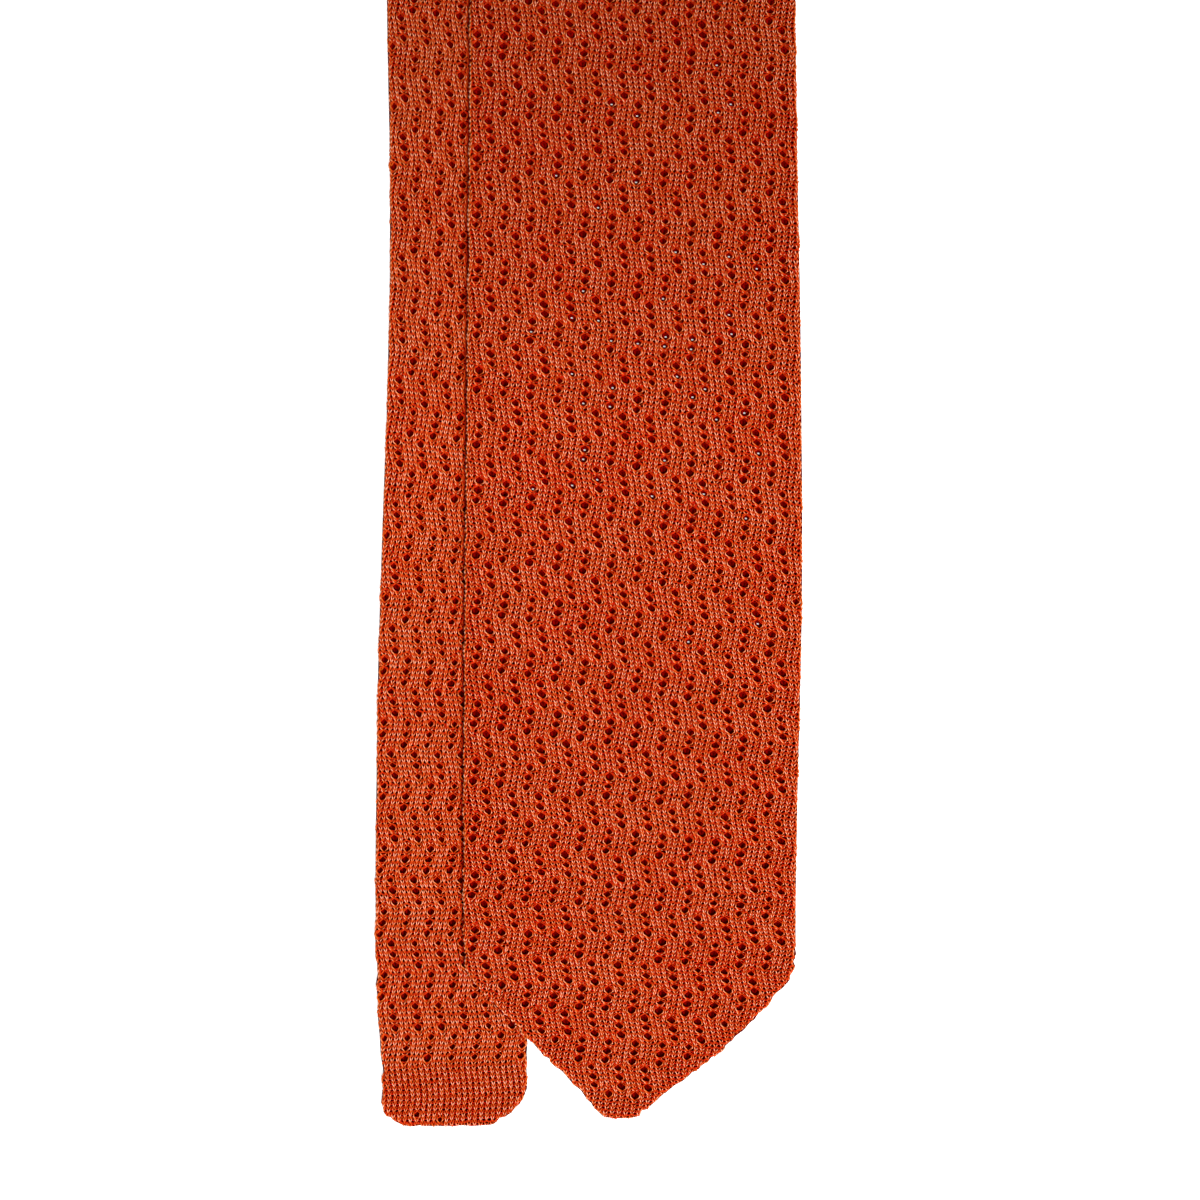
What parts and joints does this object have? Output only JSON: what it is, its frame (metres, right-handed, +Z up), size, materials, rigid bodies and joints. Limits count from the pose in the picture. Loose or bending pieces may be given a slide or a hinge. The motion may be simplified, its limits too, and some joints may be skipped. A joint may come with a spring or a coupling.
{
  "type": "knitted silk necktie",
  "caption": "Openwork knitted silk tie folded in half, its pointed wide blade lying on the square-ended narrow blade.",
  "frame": {"origin": "middle of the folded tie's box, on the surface that it lies on", "axes": "+Y runs along the tie from its two free ends to the fold at the neck, +Z is up out of the surface, +X is to the right with the wide blade's pointed end towards the viewer"},
  "size_m": [0.1022, 0.727, 0.0068],
  "materials": {
    "openwork_silk": "openwork knit of rust orange silk yarn, soft sheen",
    "plain_knit_silk": "plain knit of rust orange silk yarn, soft sheen"
  },
  "bodies": {
    "root": {"wide_blade": "openwork_silk", "narrow_blade": "openwork_silk", "tail_hem": "plain_knit_silk", "neck_band": "plain_knit_silk"}
  },
  "joints": []
}
